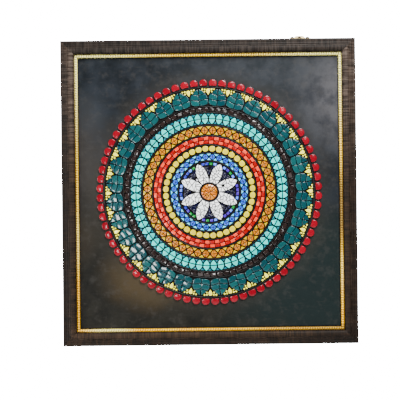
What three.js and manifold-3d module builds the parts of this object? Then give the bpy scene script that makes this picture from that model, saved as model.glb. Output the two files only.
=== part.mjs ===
import * as THREE from 'three';
import { mergeVertices } from 'three/addons/utils/BufferGeometryUtils.js';
import Module from 'manifold-3d';

// A framed wall plaque: a round mosaic of glazed tiles on a painted board, in a dark
// wooden frame with a gold slip. Millimetres, +Z up. The front faces -Y, the wall side
// is the plane y = 0, and the origin is the middle of the top rail's back face.

const wasm = await Module();
wasm.setup();

// Driving dimensions of the frame
const PLAQUE_WIDTH = 610;
const PLAQUE_HEIGHT = 631.5;
const FRAME_DEPTH = 28;
const RAIL_WIDTH = 27.8;
const RAIL_SIDE_HEIGHT = 21;
const RAIL_EDGE_ROUND = 3;
const RAIL_STEP_HEIGHT = 1.8;
const RAIL_CREST_WIDTH = 13.5;
const RAIL_INNER_DROP = 5;
const REBATE_WIDTH = 6.5;

// Driving dimensions of the slip and the board
const SLIP_SHOW = 6.5;
const SLIP_HEIGHT = 8;
const SLIP_FLANGE = 3;
const BOARD_THICKNESS = 9;
const BOARD_RECESS = 3;

// Clearance between pieces that touch
const FIT_GAP = 0.3;

// Driving dimensions of the mosaic, from its middle outwards: the width of each band
const BOSS_RADIUS = 17;
const LOTUS_BAND = 43;
const BLUE_BAND = 14;
const YELLOW_BAND = 13;
const CHEQUER_BAND = 16;
const ORANGE_BAND = 18.5;
const AQUA_BAND = 23;
const DARK_BAND = 9;
const TEAL_BAND = 37;
const CRIMSON_BAND = 16.5;
const LINE_WIDTH = 2.6;
const LINE_HEIGHT = 2.8;

// How far the tiles of each band stand out from the board
const BOSS_HEIGHT = 8;
const LOTUS_TILE = 4.6;
const NAVY_TILE = 3.6;
const BLUE_TILE = 4;
const YELLOW_TILE = 5;
const CHEQUER_TILE = 3.6;
const ORANGE_TILE = 4.2;
const AQUA_TILE = 4.6;
const DARK_TILE = 3.4;
const TEAL_TILE = 4;
const CRIMSON_TILE = 5;

// How many tiles stand side by side round each band
const PETAL_COUNT = 8;
const BLUE_COUNT = 32;
const YELLOW_COUNT = 40;
const ORANGE_COUNT = 48;
const AQUA_COUNT = 64;
const TEAL_COUNT = 32;
const CRIMSON_COUNT = 72;
const RING_SIDES = 40;
const TILE_TOUCH = 2.4;

// Driving dimensions of the hanger
const HANGER_OFFSET = 0.315 * PLAQUE_WIDTH;
const HANGER_SHEET = 1.2;
const HANGER_SETBACK = 2;
const FOOT_LENGTH = 46;
const FOOT_DEPTH = 13;
const EAR_WIDTH = 25;
const EAR_HEIGHT = 8.2;
const EAR_SIDE = 1.6;
const EAR_SHOULDER = 8.5;
const EAR_LEAN = 1;
const EYE_WIDTH = 5.2;
const EYE_HEIGHT = 3.2;
const EYELET_WALL = 0.9;
const EYELET_RIM = 0.8;
const EYELET_SHEET = 0.5;
const SCREW_SPACING = 32;
const SCREW_SHANK = 3;
const SCREW_LENGTH = 14;
const SCREW_HEAD = 9;
const SCREW_HEAD_HEIGHT = 4;
const SCREW_SIDES = 12;

// Levels worked out from the driving dimensions
const BOARD_FRONT = BOARD_RECESS + BOARD_THICKNESS;
const SLIP_BACK = BOARD_FRONT + FIT_GAP;
const REBATE_DEPTH = SLIP_BACK + SLIP_FLANGE + FIT_GAP;
const RAIL_BACK = RAIL_WIDTH - REBATE_WIDTH;
const TOP_EDGE = RAIL_BACK / 2;
const CENTRE_Z = TOP_EDGE - PLAQUE_HEIGHT / 2;
const MITRE_CUT = FIT_GAP / Math.SQRT2;

const finish = (color, roughness, metalness = 0) =>
  new THREE.MeshStandardMaterial({ color, roughness, metalness });

const addMesh = (parent, name, geometry, material) => {
  const mesh = new THREE.Mesh(geometry, material);
  mesh.name = name;
  parent.add(mesh);
  return mesh;
};

// A closed geometry becomes a solid that can be joined and cut.
function solid(geometry) {
  const bare = geometry.clone();
  bare.deleteAttribute('normal');
  bare.deleteAttribute('uv');
  const merged = mergeVertices(bare, 1e-4);
  return new wasm.Manifold(new wasm.Mesh({
    numProp: 3,
    vertProperties: new Float32Array(merged.attributes.position.array),
    triVerts: new Uint32Array(merged.index.array),
  }));
}

function geometryOf(body) {
  const mesh = body.getMesh();
  const geometry = new THREE.BufferGeometry();
  geometry.setAttribute('position', new THREE.BufferAttribute(mesh.vertProperties, 3));
  geometry.setIndex(new THREE.BufferAttribute(mesh.triVerts, 1));
  geometry.computeVertexNormals();
  return geometry;
}

// The section of a rail, in distance from the frame's outer edge and height from the wall.
function railSection() {
  const stepAt = RAIL_WIDTH - RAIL_CREST_WIDTH;
  const flatHeight = FRAME_DEPTH - RAIL_STEP_HEIGHT - RAIL_EDGE_ROUND / 2;
  const section = new THREE.Shape();
  section.moveTo(0, 0);
  section.lineTo(RAIL_BACK, 0);
  section.lineTo(RAIL_BACK, REBATE_DEPTH);
  section.lineTo(RAIL_WIDTH, REBATE_DEPTH);
  section.lineTo(RAIL_WIDTH, FRAME_DEPTH - RAIL_INNER_DROP);
  section.quadraticCurveTo(RAIL_WIDTH - 1, FRAME_DEPTH, stepAt + RAIL_CREST_WIDTH / 3, FRAME_DEPTH);
  section.quadraticCurveTo(stepAt + 1, FRAME_DEPTH, stepAt, flatHeight);
  section.lineTo(RAIL_EDGE_ROUND, RAIL_SIDE_HEIGHT + RAIL_EDGE_ROUND);
  section.quadraticCurveTo(0, RAIL_SIDE_HEIGHT + RAIL_EDGE_ROUND, 0, RAIL_SIDE_HEIGHT);
  section.closePath();
  return section;
}

// The section of the gold slip: a flange under the rail's lip and a round-topped bar.
function slipSection() {
  const outer = RAIL_BACK + FIT_GAP;
  const barStart = RAIL_WIDTH + FIT_GAP;
  const inner = RAIL_WIDTH + SLIP_SHOW;
  const top = SLIP_BACK + SLIP_HEIGHT;
  const shoulder = top - SLIP_SHOW / 3;
  const section = new THREE.Shape();
  section.moveTo(outer, SLIP_BACK);
  section.lineTo(inner, SLIP_BACK);
  section.lineTo(inner, shoulder);
  section.quadraticCurveTo(inner, top, (inner + barStart) / 2, top);
  section.quadraticCurveTo(barStart, top, barStart, shoulder);
  section.lineTo(barStart, SLIP_BACK + SLIP_FLANGE);
  section.lineTo(outer, SLIP_BACK + SLIP_FLANGE);
  section.closePath();
  return section;
}

// A moulding cut to a mitre at both ends. It lies along X, with its outer edge at z = 0.
function mitredMoulding(section, length) {
  const options = { depth: 1, bevelEnabled: false, curveSegments: 4 };
  const geometry = new THREE.ExtrudeGeometry(section, options);
  const position = geometry.attributes.position;
  for (let i = 0; i < position.count; i += 1) {
    const inset = position.getX(i);
    const height = position.getY(i);
    const end = position.getZ(i) > 0.5 ? -1 : 1;
    position.setXYZ(i, end * (length / 2 - inset - MITRE_CUT), -height, -inset);
  }
  return geometry;
}

const plaque = new THREE.Group();

// Frame: four rails and four slips round the middle of the plaque
const SCREW_HOLE = SCREW_SHANK + 2 * FIT_GAP;
const screwPlaces = [-1, 1].map((side) => HANGER_OFFSET + side * SCREW_SPACING / 2);
const footMiddle = HANGER_SETBACK + FOOT_DEPTH / 2;

function cylinderAlongZ(diameter, low, high) {
  const geometry = new THREE.CylinderGeometry(diameter / 2, diameter / 2, high - low, SCREW_SIDES);
  geometry.rotateX(Math.PI / 2);
  geometry.translate(0, 0, (low + high) / 2);
  return geometry;
}

// The top rail is drilled for the hanger's two screws.
function drilledTopRail() {
  let rail = solid(mitredMoulding(railSection(), PLAQUE_WIDTH));
  for (const place of screwPlaces) {
    const hole = cylinderAlongZ(SCREW_HOLE, -SCREW_LENGTH - 2 * FIT_GAP, SCREW_HOLE);
    hole.translate(place, -footMiddle, 0);
    rail = rail.subtract(solid(hole));
  }
  return geometryOf(rail);
}

const sides = [
  { name: 'top', turn: 0, length: PLAQUE_WIDTH, reach: PLAQUE_HEIGHT / 2 },
  { name: 'right', turn: 1, length: PLAQUE_HEIGHT, reach: PLAQUE_WIDTH / 2 },
  { name: 'bottom', turn: 2, length: PLAQUE_WIDTH, reach: PLAQUE_HEIGHT / 2 },
  { name: 'left', turn: 3, length: PLAQUE_HEIGHT, reach: PLAQUE_WIDTH / 2 },
];

for (const side of sides) {
  const holder = new THREE.Group();
  holder.position.z = CENTRE_Z;
  holder.rotation.y = side.turn * Math.PI / 2;
  const rail = side.name === 'top' ? drilledTopRail() : mitredMoulding(railSection(), side.length);
  const slip = mitredMoulding(slipSection(), side.length);
  const railMesh = addMesh(holder, `${side.name}_rail`, rail, finish(0x3f342e, 0.5));
  const slipMesh = addMesh(holder, `${side.name}_gold_slip`, slip, finish(0xd7b45a, 0.35, 0.8));
  railMesh.position.z = side.reach;
  slipMesh.position.z = side.reach;
  plaque.add(holder);
}

// Painted board, loose in the rebate by the fit gap
const boardMargin = 2 * (RAIL_BACK + FIT_GAP);
const board = new THREE.BoxGeometry(
  PLAQUE_WIDTH - boardMargin, BOARD_THICKNESS, PLAQUE_HEIGHT - boardMargin);
const boardMesh = addMesh(plaque, 'painted_board', board, finish(0x353a3a, 0.45));
boardMesh.position.set(0, -BOARD_RECESS - BOARD_THICKNESS / 2, CENTRE_Z);

// Mosaic: drawn in the plane of the board, with its height along the drawing's Z
const mosaic = new THREE.Group();
mosaic.position.set(0, -BOARD_FRONT - FIT_GAP, CENTRE_Z);
mosaic.rotation.x = Math.PI / 2;
plaque.add(mosaic);

// Radii of the bands, one after the other, with a raised line between each two
let reached = BOSS_RADIUS;
const lines = [];
function nextBand(width) {
  const line = { inner: reached + FIT_GAP, outer: reached + FIT_GAP + LINE_WIDTH };
  lines.push(line);
  const band = { inner: line.outer + FIT_GAP, outer: line.outer + FIT_GAP + width };
  reached = band.outer;
  return band;
}

const lotusBand = nextBand(LOTUS_BAND);
const blueBand = nextBand(BLUE_BAND);
const yellowBand = nextBand(YELLOW_BAND);
const chequerBand = nextBand(CHEQUER_BAND);
const orangeBand = nextBand(ORANGE_BAND);
const aquaBand = nextBand(AQUA_BAND);
const darkBand = nextBand(DARK_BAND);
const tealBand = nextBand(TEAL_BAND);
const crimsonBand = nextBand(CRIMSON_BAND);

// One edge of a band: the same few points, each a share of the pitch and a radius, round
// the whole circle.
function edgePoints(count, pattern) {
  const points = [];
  for (let tile = 0; tile < count; tile += 1) {
    for (const [share, radius] of pattern) {
      const angle = (tile + share) * 2 * Math.PI / count;
      points.push(new THREE.Vector2(radius * Math.cos(angle), radius * Math.sin(angle)));
    }
  }
  return points;
}

// A straight-sided edge that keeps clear of a circle inside it
function clearOf(radius, sides) {
  return radius / Math.cos(Math.PI / sides);
}

function raised(shape, height) {
  return new THREE.ExtrudeGeometry(shape, { depth: height, bevelEnabled: false });
}

function bandGeometry(height, outerEdge, innerEdge) {
  const shape = new THREE.Shape(outerEdge);
  shape.holes.push(new THREE.Path(innerEdge));
  return raised(shape, height);
}

// Lozenges in a row, touching at their side corners
function lozengeRing(band, count, height) {
  const middle = (band.inner + band.outer) / 2;
  const outerEdge = edgePoints(count, [[0, middle + TILE_TOUCH / 2], [0.5, band.outer]]);
  const innerEdge = edgePoints(count, [[0, middle - TILE_TOUCH / 2], [0.5, band.inner]]);
  return bandGeometry(height, outerEdge, innerEdge);
}

// A plain ring of square tiles laid close
function closeRing(band, height) {
  const innerEdge = edgePoints(RING_SIDES, [[0, clearOf(band.inner, RING_SIDES)]]);
  return bandGeometry(height, edgePoints(RING_SIDES, [[0, band.outer]]), innerEdge);
}

// Tiles with a round outer end, notched between each two
function scallopRing(band, count, height) {
  const notch = band.outer - (band.outer - band.inner) * 0.55;
  const shoulder = band.outer - (band.outer - band.inner) * 0.16;
  const pattern = [[0, notch], [0.2, shoulder], [0.5, band.outer], [0.8, shoulder]];
  const innerEdge = edgePoints(count, [[0, clearOf(band.inner, count)]]);
  return bandGeometry(height, edgePoints(count, pattern), innerEdge);
}

// Long pointed leaves, side by side, with their tips outwards
function leafRing(band, count, height) {
  const length = band.outer - band.inner;
  const notch = band.inner + length * 0.46;
  const flank = band.inner + length * 0.74;
  const outerEdge = edgePoints(count, [[0, notch], [0.17, flank], [0.5, band.outer], [0.83, flank]]);
  const heel = band.inner + length * 0.12;
  const innerEdge = edgePoints(count, [[0, heel], [0.5, band.inner]]);
  return bandGeometry(height, outerEdge, innerEdge);
}

// Short pods with blunt ends both ways
function podRing(band, count, height) {
  const dip = (band.outer - band.inner) * 0.22;
  const outerEdge = edgePoints(count, [[0, band.outer - dip], [0.3, band.outer], [0.7, band.outer]]);
  const innerEdge = edgePoints(count, [[0, band.inner + dip], [0.3, band.inner], [0.7, band.inner]]);
  return bandGeometry(height, outerEdge, innerEdge);
}

// Leaves pointed at both ends, touching at their middles
function doubleLeafRing(band, count, height) {
  const middle = (band.inner + band.outer) / 2;
  const reach = (band.outer - band.inner) * 0.2;
  const outerEdge = edgePoints(count, [[0, middle + reach], [0.5, band.outer]]);
  const innerEdge = edgePoints(count, [[0, middle - reach], [0.5, band.inner]]);
  return bandGeometry(height, outerEdge, innerEdge);
}

// The centre boss is a low dome with a short upright rim.
function bossGeometry() {
  const rim = BOSS_HEIGHT * 0.4;
  const profile = [
    new THREE.Vector2(0, 0),
    new THREE.Vector2(BOSS_RADIUS, 0),
    new THREE.Vector2(BOSS_RADIUS, rim),
    new THREE.Vector2(BOSS_RADIUS * 0.7, BOSS_HEIGHT * 0.85),
    new THREE.Vector2(0, BOSS_HEIGHT),
  ];
  const geometry = new THREE.LatheGeometry(profile, RING_SIDES / 2);
  geometry.rotateX(Math.PI / 2);
  return geometry;
}

// A raised line has a ridge along its middle.
function lineGeometry(line) {
  const sides = line.outer > LOTUS_BAND ? RING_SIDES : RING_SIDES / 2;
  const inner = clearOf(line.inner, sides);
  const profile = [
    new THREE.Vector2(inner, 0),
    new THREE.Vector2(line.outer, 0),
    new THREE.Vector2((inner + line.outer) / 2, LINE_HEIGHT),
    new THREE.Vector2(inner, 0),
  ];
  const geometry = new THREE.LatheGeometry(profile, sides);
  geometry.rotateX(Math.PI / 2);
  return geometry;
}

// The lotus has a narrow ring and pointed petals. Each navy wedge fills the space between
// two petals, out to the band's edge, and keeps the fit gap to both.
const petalLength = lotusBand.outer - lotusBand.inner;
const petalWaist = lotusBand.inner + petalLength * 0.12;
const petalBelly = lotusBand.inner + petalLength * 0.52;
const PETAL_BELLY_SHARE = 0.33;
const WEDGE_GAP_SHARE = 0.045;

function lotusGeometry() {
  const belly = PETAL_BELLY_SHARE;
  const tip = lotusBand.outer;
  const pattern = [[0, petalWaist], [0.5 - belly, petalBelly], [0.5, tip], [0.5 + belly, petalBelly]];
  const heart = 2 * PETAL_COUNT;
  const innerEdge = edgePoints(heart, [[0, clearOf(lotusBand.inner, heart)]]);
  return bandGeometry(LOTUS_TILE, edgePoints(PETAL_COUNT, pattern), innerEdge);
}

function wedgeGeometry() {
  const pitch = 2 * Math.PI / PETAL_COUNT;
  const flank = 0.5 - PETAL_BELLY_SHARE - WEDGE_GAP_SHARE;
  const tip = 0.5 - WEDGE_GAP_SHARE;
  const heel = petalWaist + petalLength * 0.1;
  const corners = [
    [-flank, petalBelly], [0, heel], [flank, petalBelly], [tip, lotusBand.outer],
    [tip / 2, lotusBand.outer], [0, lotusBand.outer], [-tip / 2, lotusBand.outer], [-tip, lotusBand.outer],
  ];
  const points = corners.map(([share, radius]) => {
    const angle = share * pitch;
    return new THREE.Vector2(radius * Math.cos(angle), radius * Math.sin(angle));
  });
  return raised(new THREE.Shape(points), NAVY_TILE);
}

addMesh(mosaic, 'centre_boss', bossGeometry(), finish(0xe8a02c, 0.3));
addMesh(mosaic, 'white_lotus', lotusGeometry(), finish(0xf1f1ec, 0.25));
for (let wedge = 0; wedge < PETAL_COUNT; wedge += 1) {
  const mesh = addMesh(mosaic, `navy_wedge_${wedge + 1}`, wedgeGeometry(), finish(0x16213f, 0.3));
  mesh.rotation.z = wedge * 2 * Math.PI / PETAL_COUNT;
}
addMesh(mosaic, 'blue_lozenges', lozengeRing(blueBand, BLUE_COUNT, BLUE_TILE), finish(0x5a8cd7, 0.25));
addMesh(mosaic, 'yellow_pods', podRing(yellowBand, YELLOW_COUNT, YELLOW_TILE), finish(0xf7f022, 0.25));
addMesh(mosaic, 'red_salmon_chequer', closeRing(chequerBand, CHEQUER_TILE), finish(0xf03018, 0.25));
addMesh(mosaic, 'orange_lozenges', lozengeRing(orangeBand, ORANGE_COUNT, ORANGE_TILE), finish(0xffa532, 0.25));
addMesh(mosaic, 'aqua_leaves', doubleLeafRing(aquaBand, AQUA_COUNT, AQUA_TILE), finish(0x96ebdc, 0.25));
addMesh(mosaic, 'dark_squares', closeRing(darkBand, DARK_TILE), finish(0x2a2220, 0.3));
addMesh(mosaic, 'teal_leaves', leafRing(tealBand, TEAL_COUNT, TEAL_TILE), finish(0x196e73, 0.25));
addMesh(
  mosaic, 'crimson_scallops', scallopRing(crimsonBand, CRIMSON_COUNT, CRIMSON_TILE), finish(0xc31e32, 0.25));
lines.forEach((line, index) => {
  addMesh(mosaic, `black_line_${index + 1}`, lineGeometry(line), finish(0x0c0c0c, 0.35));
});

// Hanger: a folded brass plate on the top edge, its foot screwed down and its ear upright
const eyeLevel = (HANGER_SHEET + EAR_HEIGHT) / 2;

function hangerPlate() {
  const foot = new THREE.BoxGeometry(FOOT_LENGTH, FOOT_DEPTH, HANGER_SHEET);
  foot.translate(0, -footMiddle, HANGER_SHEET / 2);
  const half = EAR_WIDTH / 2;
  const ear = new THREE.Shape();
  ear.moveTo(-half, 0);
  ear.lineTo(half, 0);
  ear.lineTo(half, EAR_SIDE);
  ear.quadraticCurveTo(half - EAR_LEAN, EAR_HEIGHT, half - EAR_SHOULDER, EAR_HEIGHT);
  ear.lineTo(EAR_SHOULDER - half, EAR_HEIGHT);
  ear.quadraticCurveTo(EAR_LEAN - half, EAR_HEIGHT, -half, EAR_SIDE);
  ear.closePath();
  const eye = new THREE.Path();
  eye.absellipse(0, eyeLevel, EYE_WIDTH / 2, EYE_HEIGHT / 2, 0, 2 * Math.PI, true);
  ear.holes.push(eye);
  const options = { depth: HANGER_SHEET, bevelEnabled: false, curveSegments: 5 };
  const upright = new THREE.ExtrudeGeometry(ear, options);
  upright.rotateX(Math.PI / 2);
  upright.translate(0, -HANGER_SETBACK, 0);
  let plate = solid(foot).add(solid(upright));
  for (const side of [-1, 1]) {
    const hole = cylinderAlongZ(SCREW_HOLE, -HANGER_SHEET, 2 * HANGER_SHEET);
    hole.translate(side * SCREW_SPACING / 2, -footMiddle, 0);
    plate = plate.subtract(solid(hole));
  }
  return geometryOf(plate);
}

// A dark eyelet lines the eye: a short oval barrel with a rim on the front of the ear.
function ovalRing(outerGrowth, low, high) {
  const ring = new THREE.Shape();
  const outerWide = EYE_WIDTH / 2 + outerGrowth;
  const outerHigh = EYE_HEIGHT / 2 + outerGrowth;
  const innerWide = EYE_WIDTH / 2 - FIT_GAP - EYELET_WALL;
  const innerHigh = EYE_HEIGHT / 2 - FIT_GAP - EYELET_WALL;
  ring.absellipse(0, eyeLevel, outerWide, outerHigh, 0, 2 * Math.PI, false);
  const bore = new THREE.Path();
  bore.absellipse(0, eyeLevel, innerWide, innerHigh, 0, 2 * Math.PI, true);
  ring.holes.push(bore);
  const options = { depth: high - low, bevelEnabled: false, curveSegments: 6 };
  const geometry = new THREE.ExtrudeGeometry(ring, options);
  geometry.rotateX(Math.PI / 2);
  geometry.translate(0, -HANGER_SETBACK - low, 0);
  return solid(geometry);
}

function eyeletGeometry() {
  const face = HANGER_SHEET + FIT_GAP;
  const barrel = ovalRing(-FIT_GAP, 0, face + EYELET_SHEET);
  return geometryOf(barrel.add(ovalRing(EYELET_RIM, face, face + EYELET_SHEET)));
}

// A round-head screw, from its point up. Its head rests on the foot.
function screwGeometry() {
  const shank = SCREW_SHANK / 2;
  const head = SCREW_HEAD / 2;
  const under = HANGER_SHEET + 2 * FIT_GAP;
  const profile = [
    new THREE.Vector2(0, -SCREW_LENGTH),
    new THREE.Vector2(shank, -SCREW_LENGTH + SCREW_SHANK),
    new THREE.Vector2(shank, under),
    new THREE.Vector2(head, under),
    new THREE.Vector2(head * 0.82, under + SCREW_HEAD_HEIGHT * 0.6),
    new THREE.Vector2(head * 0.4, under + SCREW_HEAD_HEIGHT * 0.95),
    new THREE.Vector2(0, under + SCREW_HEAD_HEIGHT),
  ];
  const geometry = new THREE.LatheGeometry(profile, SCREW_SIDES);
  geometry.rotateX(Math.PI / 2);
  return geometry;
}

const plate = addMesh(plaque, 'hanger_plate', hangerPlate(), finish(0xe3c98a, 0.35, 0.9));
plate.position.set(HANGER_OFFSET, 0, TOP_EDGE + FIT_GAP);
const eyelet = addMesh(plaque, 'hanger_eyelet', eyeletGeometry(), finish(0x2c2622, 0.4, 0.9));
eyelet.position.copy(plate.position);
screwPlaces.forEach((place, index) => {
  const screw = addMesh(plaque, `hanger_screw_${index + 1}`, screwGeometry(), finish(0x2c2622, 0.4, 0.9));
  screw.position.set(place, -footMiddle, TOP_EDGE);
});

export default plaque;
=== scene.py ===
import math
import random
from itertools import combinations

import bmesh
import bpy
from mathutils import Matrix, Quaternion, Vector, noise


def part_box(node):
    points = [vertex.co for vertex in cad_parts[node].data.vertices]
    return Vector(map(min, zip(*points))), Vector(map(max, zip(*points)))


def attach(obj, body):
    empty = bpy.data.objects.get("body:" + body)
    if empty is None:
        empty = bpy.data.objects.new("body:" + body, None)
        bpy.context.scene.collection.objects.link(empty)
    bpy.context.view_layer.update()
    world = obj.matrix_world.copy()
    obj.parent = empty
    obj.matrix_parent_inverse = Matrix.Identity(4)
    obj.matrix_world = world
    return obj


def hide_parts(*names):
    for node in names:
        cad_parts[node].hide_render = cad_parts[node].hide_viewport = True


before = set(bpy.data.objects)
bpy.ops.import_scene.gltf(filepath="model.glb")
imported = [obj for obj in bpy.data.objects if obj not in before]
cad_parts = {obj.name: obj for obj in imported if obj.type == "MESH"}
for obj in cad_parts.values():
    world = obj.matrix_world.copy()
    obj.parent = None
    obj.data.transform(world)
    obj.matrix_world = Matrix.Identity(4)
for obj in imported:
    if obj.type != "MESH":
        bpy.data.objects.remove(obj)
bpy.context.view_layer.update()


# Camera
# The photograph looks straight at the plaque, which stands a little turned in the picture.
# Its scale comes from the width of the frame, and its distance is that of a hand-held shot.
PHOTO_PIXELS = 400
PLAQUE_PIXELS = 295.2
PLAQUE_MIDDLE_PIXEL = Vector((209.3, 192.1))
PLAQUE_TURN = math.radians(0.67)
CAMERA_DISTANCE = 1.7
SENSOR_WIDTH = 36
RAIL_SIDE_HEIGHT = 0.021

left_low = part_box("left_rail")[0]
right_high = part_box("right_rail")[1]
top_low, top_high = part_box("top_rail")
bottom_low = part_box("bottom_rail")[0]
PLAQUE_WIDTH = right_high.x - left_low.x
PLAQUE_HEIGHT = top_high.z - bottom_low.z
FRAME_DEPTH = -top_low.y
RAIL_WIDTH = top_high.z - top_low.z
MIDDLE = Vector((
    (left_low.x + right_high.x) / 2,
    -RAIL_SIDE_HEIGHT,
    (top_high.z + bottom_low.z) / 2,
))
METRES_A_PIXEL = PLAQUE_WIDTH / PLAQUE_PIXELS


def put(name, data):
    """Adds an object with this data to the picture."""
    thing = bpy.data.objects.new(name, data)
    bpy.context.collection.objects.link(thing)
    return thing


turn = Matrix.Rotation(PLAQUE_TURN, 4, "Y")
aside = (PLAQUE_MIDDLE_PIXEL.x - PHOTO_PIXELS / 2) * METRES_A_PIXEL
above = (PHOTO_PIXELS / 2 - PLAQUE_MIDDLE_PIXEL.y) * METRES_A_PIXEL
eye = MIDDLE - turn @ Vector((aside, CAMERA_DISTANCE, above))
camera = put("camera", bpy.data.cameras.new("camera"))
camera.matrix_world = Matrix.Translation(eye) @ turn @ Matrix.Rotation(math.pi / 2, 4, "X")
camera.data.sensor_width = SENSOR_WIDTH
camera.data.lens = SENSOR_WIDTH * CAMERA_DISTANCE / (PHOTO_PIXELS * METRES_A_PIXEL)
bpy.context.scene.camera = camera


# Studio
# A pale floor well below the plaque and a room that is white only to the eye, so that glazes
# stay deep. A soft light stands high at the right, one low at the left, and two small ones give
# the sheen on the upper right of the paint and the glare on the tiles at the lower left.
FLOOR_DROP = 0.45
FLOOR_HALF = 1.6
FLOOR_NEAR_EDGE = -3.0
FLOOR_WHITES = ((0.72, 0.72, 0.71, 1), (0.8, 0.8, 0.79, 1))
ROOM_WHITE = 22.0
ROOM_LIGHT = 0.13


def soft_light(name, place, aim, size, power):
    data = bpy.data.lights.new(name, "AREA")
    data.shape = "SQUARE"
    data.size = size
    data.energy = power
    light = put(name, data)
    light.location = place
    light.rotation_euler = (Vector(aim) - Vector(place)).to_track_quat("-Z", "Y").to_euler()


soft_light("high_light", (0.5, -1.25, 1.05), MIDDLE, 0.9, 112)
soft_light("side_light", (-1.9, -1.3, -0.5), MIDDLE, 1.1, 58)
soft_light("back_light", (-0.6, 2.2, 0.9), MIDDLE, 1.4, 60)
soft_light("sheen_light", (0.5, -1.7, 0.2), (0.22, 0, -0.07), 0.3, 2.0)
soft_light("glare_light", (-0.34, -1.7, -0.5), (-0.16, 0, -0.4), 0.2, 3.4)

room = bpy.data.worlds.new("room")
room.use_nodes = True
bpy.context.scene.world = room
nodes, links = room.node_tree.nodes, room.node_tree.links
seen = nodes.new("ShaderNodeLightPath")
glow = nodes["Background"]
backdrop = nodes.new("ShaderNodeBackground")
both = nodes.new("ShaderNodeMixShader")
for light, strength in ((glow, ROOM_LIGHT), (backdrop, ROOM_WHITE)):
    light.inputs["Color"].default_value = (1, 1, 1, 1)
    light.inputs["Strength"].default_value = strength
links.new(seen.outputs["Is Camera Ray"], both.inputs[0])
links.new(glow.outputs[0], both.inputs[1])
links.new(backdrop.outputs[0], both.inputs[2])
links.new(both.outputs[0], nodes["World Output"].inputs["Surface"])


class Value:
    """A socket of a shader. Arithmetic on it adds the Math nodes."""

    def __init__(self, surface, socket):
        self.surface = surface
        self.socket = socket

    def math(self, operation, first, second):
        return self.surface.node("Math", {"operation": operation}, {0: first, 1: second})

    def __add__(self, other):
        return self.math("ADD", self, other)

    def __sub__(self, other):
        return self.math("SUBTRACT", self, other)

    def __mul__(self, other):
        return self.math("MULTIPLY", self, other)

    def __radd__(self, other):
        return self.math("ADD", other, self)

    def __rsub__(self, other):
        return self.math("SUBTRACT", other, self)

    def __rmul__(self, other):
        return self.math("MULTIPLY", other, self)

    def between(self, low, high):
        """0 below low, 1 above high, smooth in between."""
        settings = {"interpolation_type": "SMOOTHSTEP"}
        return self.surface.node("MapRange", settings, {0: self, 1: low, 2: high, 3: 0.0, 4: 1.0})


class Surface:
    """A finish: one Principled shader, and the nodes that feed it."""

    def __init__(self, name, **plain):
        self.material = bpy.data.materials.new(name)
        self.material.use_nodes = True
        self.tree = self.material.node_tree
        self.shader = self.tree.nodes["Principled BSDF"]
        for socket, value in plain.items():
            self.shader.inputs[socket.replace("_", " ")].default_value = value

    def node(self, kind, settings, sockets, output=0):
        made = self.tree.nodes.new("ShaderNode" + kind)
        for name, value in settings.items():
            setattr(made, name, value)
        for name, value in sockets.items():
            if isinstance(value, Value):
                self.tree.links.new(value.socket, made.inputs[name])
            else:
                made.inputs[name].default_value = value
        return Value(self, made.outputs[output])

    def place(self, scale=(1, 1, 1), origin=(0, 0, 0)):
        """Object coordinates, centred on a point and stretched."""
        where = self.node("TexCoord", {}, {}, "Object")
        moved = self.node("VectorMath", {"operation": "SUBTRACT"}, {0: where, 1: tuple(origin)})
        return self.node("VectorMath", {"operation": "MULTIPLY"}, {0: moved, 1: scale})

    def drawn(self, name):
        """A number that the mesh carries at each of its points."""
        return self.node("Attribute", {"attribute_name": name}, {}, "Fac")

    def cloud(self, where, scale, detail=3.0, roughness=0.55):
        sockets = {"Vector": where, "Scale": scale, "Detail": detail, "Roughness": roughness}
        return self.node("TexNoise", {}, sockets)

    def mix(self, share, first, second, blend="MIX"):
        settings = {"data_type": "RGBA", "blend_type": blend}
        return self.node("Mix", settings, {0: share, 6: first, 7: second}, 2)

    def parts(self, vector):
        """The three numbers of a vector."""
        return [self.node("SeparateXYZ", {}, {0: vector}, output) for output in range(3)]

    def size_of(self, value):
        return self.node("Math", {"operation": "ABSOLUTE"}, {0: value})

    def inset(self, x, z):
        """How far a point stands outwards of the rails' inner lips. It is negative inside them."""
        beside = self.size_of(x) - (PLAQUE_WIDTH / 2 - RAIL_WIDTH)
        above = self.size_of(z) - (PLAQUE_HEIGHT / 2 - RAIL_WIDTH)
        return beside.math("MAXIMUM", beside, above)

    def finish(self, colour, roughness=None, relief=None):
        """Feeds the shader. The relief is a height with its strength and its distance."""
        values = {"Base Color": colour}
        if roughness:
            values["Roughness"] = roughness
            sockets = dict(zip(("Height", "Strength", "Distance"), relief))
            values["Normal"] = self.node("Bump", {}, sockets, "Normal")
        for socket, value in values.items():
            self.tree.links.new(value.socket, self.shader.inputs[socket])
        return self.material


def paint(red, green, blue):
    """A colour as it is seen on a screen, 0 to 255, as light."""
    return tuple((channel / 255) ** 2.2 for channel in (red, green, blue)) + (1.0,)


def as_mesh(bm, name):
    mesh = bpy.data.meshes.new(name)
    bm.to_mesh(mesh)
    bm.free()
    return mesh


floor_grid = bmesh.new()
bmesh.ops.create_grid(floor_grid, x_segments=1, y_segments=1, size=FLOOR_HALF)
floor_place = (MIDDLE.x, FLOOR_NEAR_EDGE + FLOOR_HALF, bottom_low.z - FLOOR_DROP)
bmesh.ops.translate(floor_grid, vec=floor_place, verts=floor_grid.verts)
floor_mesh = as_mesh(floor_grid, "floor")
floor_finish = Surface("pale_floor", Roughness=0.6)
floor_grain = floor_finish.cloud(floor_finish.place(), 9.0)
floor_colour = floor_finish.mix(floor_grain, *FLOOR_WHITES)
floor_mesh.materials.append(floor_finish.finish(floor_colour))
put("floor", floor_mesh)


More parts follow.
